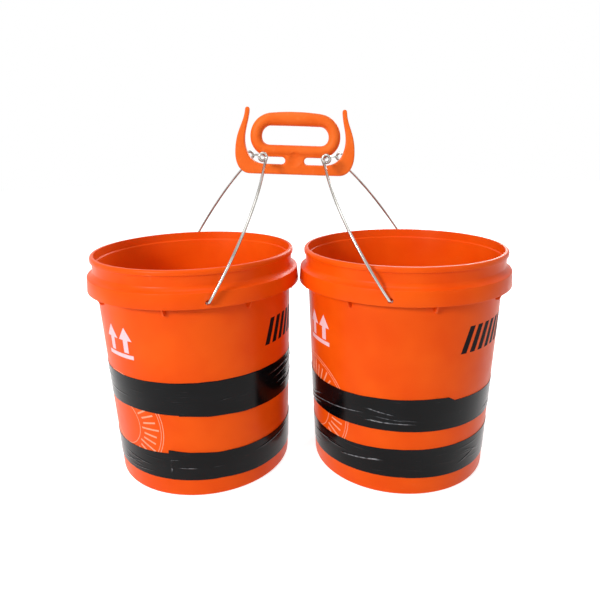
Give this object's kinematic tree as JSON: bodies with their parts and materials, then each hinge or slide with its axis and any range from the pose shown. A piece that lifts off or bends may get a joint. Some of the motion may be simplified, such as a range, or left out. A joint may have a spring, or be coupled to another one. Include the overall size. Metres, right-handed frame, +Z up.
{
  "type": "twin pail carrier",
  "caption": "Matching open pails with wire bails, wrapped in tape bands and joined by one double-hook carrying handle.",
  "frame": {"origin": "centre of the bottom of the bounding box, on the floor between the pails", "axes": "+Z up, +X from the left pail to the right pail, +Y from the front to the back"},
  "size_m": [0.6448, 0.326, 0.5537],
  "materials": {
    "pail_plastic": "satin",
    "handle_plastic": "satin",
    "bail_wire": "satin",
    "tape_film": "gloss"
  },
  "bodies": {
    "carrier": {"carrier_handle": "handle_plastic"},
    "left_swing": {"left_bail": "bail_wire"},
    "right_swing": {"right_bail": "bail_wire"},
    "left_pail": {"left_bucket": "pail_plastic", "left_upper_tape": "tape_film", "left_lower_tape": "tape_film"},
    "right_pail": {"right_bucket": "pail_plastic", "right_upper_tape": "tape_film", "right_lower_tape": "tape_film"}
  },
  "joints": [
    {"name": "left_bail_swing", "type": "hinge", "parent": "carrier", "child": "left_swing", "pos_m": [-0.05124, 0.00992, 0.48186], "axis": [-0.289, 0.9573, 0], "range_deg": [0, 60]},
    {"name": "left_pail_tilt", "type": "hinge", "parent": "left_swing", "child": "left_pail", "pos_m": [-0.16164, -0.00208, 0.3051], "axis": [-0.289, 0.9573, 0], "range_deg": [-3, 120]},
    {"name": "right_bail_swing", "type": "hinge", "parent": "carrier", "child": "right_swing", "pos_m": [0.04456, 0.00992, 0.47737], "axis": [-0.2588, -0.9659, 0], "range_deg": [0, 60]},
    {"name": "right_pail_tilt", "type": "hinge", "parent": "right_swing", "child": "right_pail", "pos_m": [0.16156, -0.00208, 0.3051], "axis": [-0.2588, -0.9659, 0], "range_deg": [-3, 120]}
  ]
}
